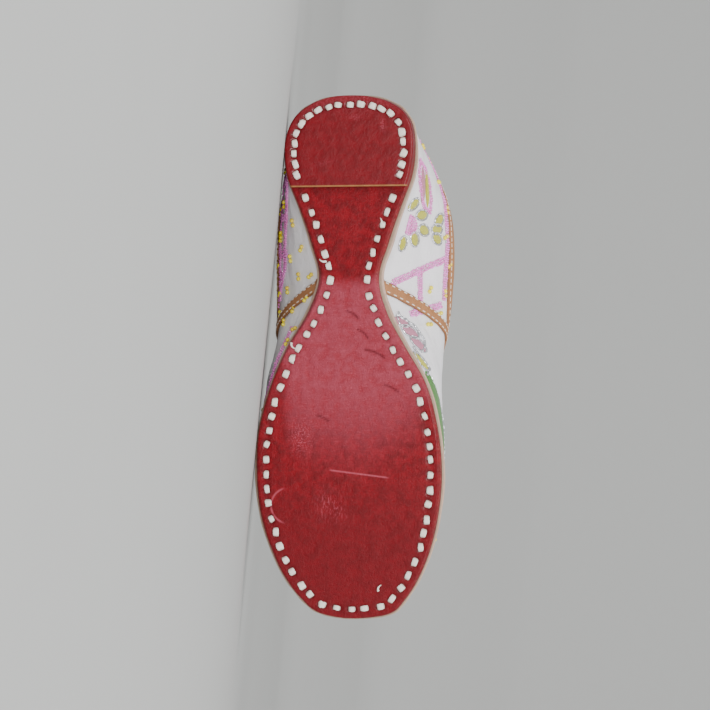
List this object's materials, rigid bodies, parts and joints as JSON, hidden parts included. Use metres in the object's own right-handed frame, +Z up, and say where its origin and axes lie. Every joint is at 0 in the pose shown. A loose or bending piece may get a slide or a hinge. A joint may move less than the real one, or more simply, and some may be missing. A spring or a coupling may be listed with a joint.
{
  "type": "mojari shoe",
  "caption": "Flat slip-on slipper for a left foot, lying on its outer side: embroidered satin upper, tan leather bindings and a waisted red leather sole with a low heel lift",
  "frame": {"origin": "middle of the shoe's box on the floor that it lies on", "axes": "+X from heel to toe, +Z up with the inner (medial) side of the foot on top, +Y from the tread towards the opening; the tread faces -Y, tipped about 9 degrees down"},
  "size_m": [0.2516, 0.0726, 0.0913],
  "materials": {
    "red_sole_leather": "dyed red, polished at heel and toe, scuffed and dull across waist and ball, pale lace stitches near the edge",
    "natural_leather": "undyed cut edge, fibrous, slightly uneven",
    "lining_leather": "plain tan sock, matt",
    "embroidered_satin": "leather wall covered in white satin with soft wrinkles, worked with pink and yellow seed beads, satin-stitch petals and a green leaf",
    "tan_leather": "thin tan strip folded over the edge, machine stitched, slightly cracked"
  },
  "bodies": {
    "root": {"heel_lift": "red_sole_leather", "outsole": "red_sole_leather", "midsole": "natural_leather", "insole": "lining_leather", "upper": "embroidered_satin", "collar_binding": "tan_leather", "vamp_binding": "tan_leather"}
  },
  "joints": []
}
